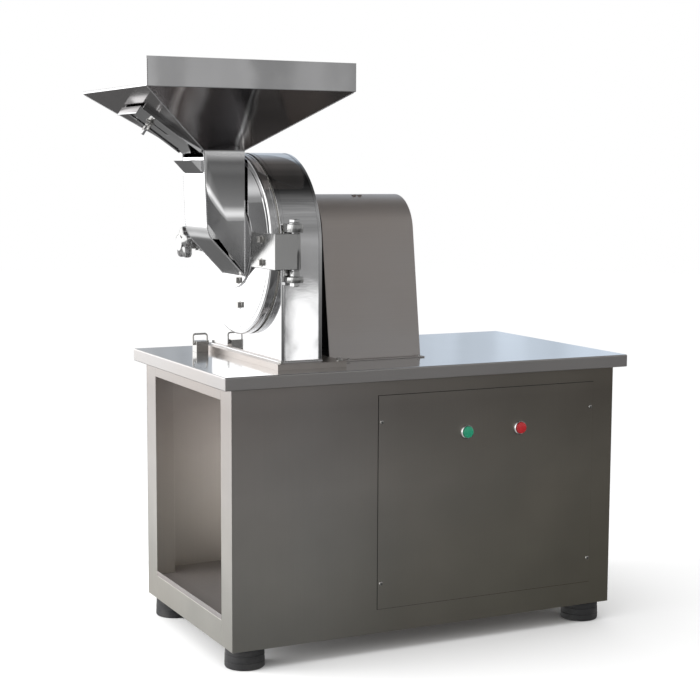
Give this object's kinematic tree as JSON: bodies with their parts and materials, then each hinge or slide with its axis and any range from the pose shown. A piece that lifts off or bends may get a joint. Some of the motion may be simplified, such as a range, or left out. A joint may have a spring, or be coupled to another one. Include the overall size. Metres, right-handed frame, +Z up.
{
  "type": "hammer mill",
  "caption": "Hammer mill with a side-hinged round door, feed chute, offset funnel hopper and arched belt guard on a stainless cabinet stand with an open collecting bay.",
  "frame": {"origin": "on the floor, under the centre of the bounding box", "axes": "+Z up, -Y is the front with the access cover and push buttons, -X is the end that the mill door and the open bay face"},
  "size_m": [1.25, 0.634, 1.4046],
  "materials": {
    "brushed_stainless": "brushed, soft reflections",
    "polished_table": "polished, wavy reflections",
    "polished_housing": "mirror polished",
    "bay_steel": "mill finish",
    "polished_sheet": "mirror polished sheet",
    "door_steel": "polished",
    "black_rubber": "moulded",
    "zinc_steel": "zinc plated",
    "chrome_trim": "polished",
    "black_plastic": "moulded",
    "painted_rail": "satin",
    "motor_paint": "satin",
    "belt_rubber": "cloth-faced",
    "black_iron": "painted black",
    "bearing_steel": "ground",
    "cast_iron": "machined",
    "screen_steel": "perforated sheet",
    "guard_satin": "satin",
    "forged_steel": "machined",
    "gasket_rubber": "pale food-grade rubber",
    "liner_iron": "worn",
    "hammer_steel": "hardened",
    "green_plastic": "gloss",
    "red_plastic": "gloss"
  },
  "bodies": {
    "stand": {"posts": "brushed_stainless", "rails": "brushed_stainless", "front_skin": "brushed_stainless", "back_skin": "brushed_stainless", "right_skin": "brushed_stainless", "partition": "bay_steel", "floor_shelf": "bay_steel", "table_top": "polished_table", "feet": "black_rubber", "access_cover": "brushed_stainless", "panel_screws": "zinc_steel", "button_bezels": "chrome_trim", "contact_blocks": "black_plastic", "cable_gland": "black_plastic", "motor_rails": "painted_rail", "motor_body": "motor_paint", "belts": "belt_rubber", "base_plate": "brushed_stainless", "base_bolts": "zinc_steel", "housing": "polished_housing", "screen_ring": "screen_steel", "discharge_spout": "polished_housing", "bearing_pedestal": "black_iron", "bearings": "bearing_steel", "bearing_covers": "cast_iron", "guard": "guard_satin", "pivot_bracket": "forged_steel", "hinge_pin": "bearing_steel", "clamp_boss": "forged_steel", "catch_block": "zinc_steel"},
    "door": {"door_disc": "door_steel", "door_gasket": "gasket_rubber", "door_liner": "liner_iron", "door_bolts": "zinc_steel", "feed_boss": "polished_sheet", "feed_chute": "polished_sheet", "chute_scoop": "polished_sheet", "hinge_arm": "forged_steel", "clamp_lug": "forged_steel", "hopper_funnel": "polished_sheet", "hopper_rim": "polished_sheet", "gate_guides": "polished_sheet"},
    "gate": {"gate_plate": "polished_sheet"},
    "wing_nut": {"wing_nut": "zinc_steel"},
    "clamp_washer": {"clamp_washer": "zinc_steel"},
    "star_knob": {"star_knob": "forged_steel", "clamp_stem": "bearing_steel"},
    "rotor": {"spindle": "bearing_steel", "rotor_discs": "cast_iron", "hammer_pins": "bearing_steel", "mill_pulley": "cast_iron"},
    "hammers_a": {"hammers_a": "hammer_steel"},
    "hammers_b": {"hammers_b": "hammer_steel"},
    "hammers_c": {"hammers_c": "hammer_steel"},
    "hammers_d": {"hammers_d": "hammer_steel"},
    "motor_rotor": {"motor_shaft": "bearing_steel", "motor_pulley": "cast_iron"},
    "start_button": {"start_button": "green_plastic"},
    "stop_button": {"stop_button": "red_plastic"},
    "catch_bail": {"catch_bail": "zinc_steel"}
  },
  "joints": [
    {"name": "door_hinge", "type": "hinge", "parent": "stand", "child": "door", "pos_m": [-0.272, -0.246, 0.97], "axis": [0, 0, 1], "range_deg": [0, 110]},
    {"name": "gate_slide", "type": "slide", "parent": "door", "child": "gate", "axis": [-0.819, 0, 0.5737], "range_m": [0, 0.05]},
    {"name": "wing_nut_turn", "type": "hinge", "parent": "door", "child": "wing_nut", "pos_m": [-0.5386, 0, 1.26076], "axis": [-0.5737, 0, -0.819], "range_deg": [0, 360]},
    {"name": "clamp_slide", "type": "slide", "parent": "door", "child": "clamp_washer", "axis": [-1, 0, 0], "range_m": [0, 0.024]},
    {"name": "knob_turn", "type": "hinge", "parent": "clamp_washer", "child": "star_knob", "pos_m": [-0.35, 0.243, 0.969], "axis": [-1, 0, 0], "range_deg": [0, 4320]},
    {"name": "rotor_spin", "type": "hinge", "parent": "stand", "child": "rotor", "pos_m": [-0.1, 0, 0.977], "axis": [1, 0, 0], "continuous": true},
    {"name": "motor_spin", "type": "hinge", "parent": "stand", "child": "motor_rotor", "pos_m": [0.05, 0, 0.359], "axis": [1, 0, 0], "continuous": true},
    {"name": "hammers_a_swing", "type": "hinge", "parent": "rotor", "child": "hammers_a", "pos_m": [-0.244, 0.07778, 1.05478], "axis": [1, 0, 0], "continuous": true},
    {"name": "hammers_b_swing", "type": "hinge", "parent": "rotor", "child": "hammers_b", "pos_m": [-0.244, -0.07778, 1.05478], "axis": [1, 0, 0], "continuous": true},
    {"name": "hammers_c_swing", "type": "hinge", "parent": "rotor", "child": "hammers_c", "pos_m": [-0.244, -0.07778, 0.89922], "axis": [1, 0, 0], "continuous": true},
    {"name": "hammers_d_swing", "type": "hinge", "parent": "rotor", "child": "hammers_d", "pos_m": [-0.244, 0.07778, 0.89922], "axis": [1, 0, 0], "continuous": true},
    {"name": "start_press", "type": "slide", "parent": "stand", "child": "start_button", "axis": [0, 1, 0], "range_m": [0, 0.004], "stiffness_N_per_m": 500},
    {"name": "stop_press", "type": "slide", "parent": "stand", "child": "stop_button", "axis": [0, 1, 0], "range_m": [0, 0.004], "stiffness_N_per_m": 500},
    {"name": "catch_bail_swing", "type": "hinge", "parent": "stand", "child": "catch_bail", "pos_m": [-0.343, 0.179, 0.715], "axis": [1, 0, 0], "range_deg": [0, 90]}
  ],
  "couplings": [
    {"joint": "clamp_slide", "follows": "knob_turn", "m_per_rad": 0.0003183},
    {"joint": "motor_spin", "follows": "rotor_spin", "ratio": 0.66537}
  ]
}
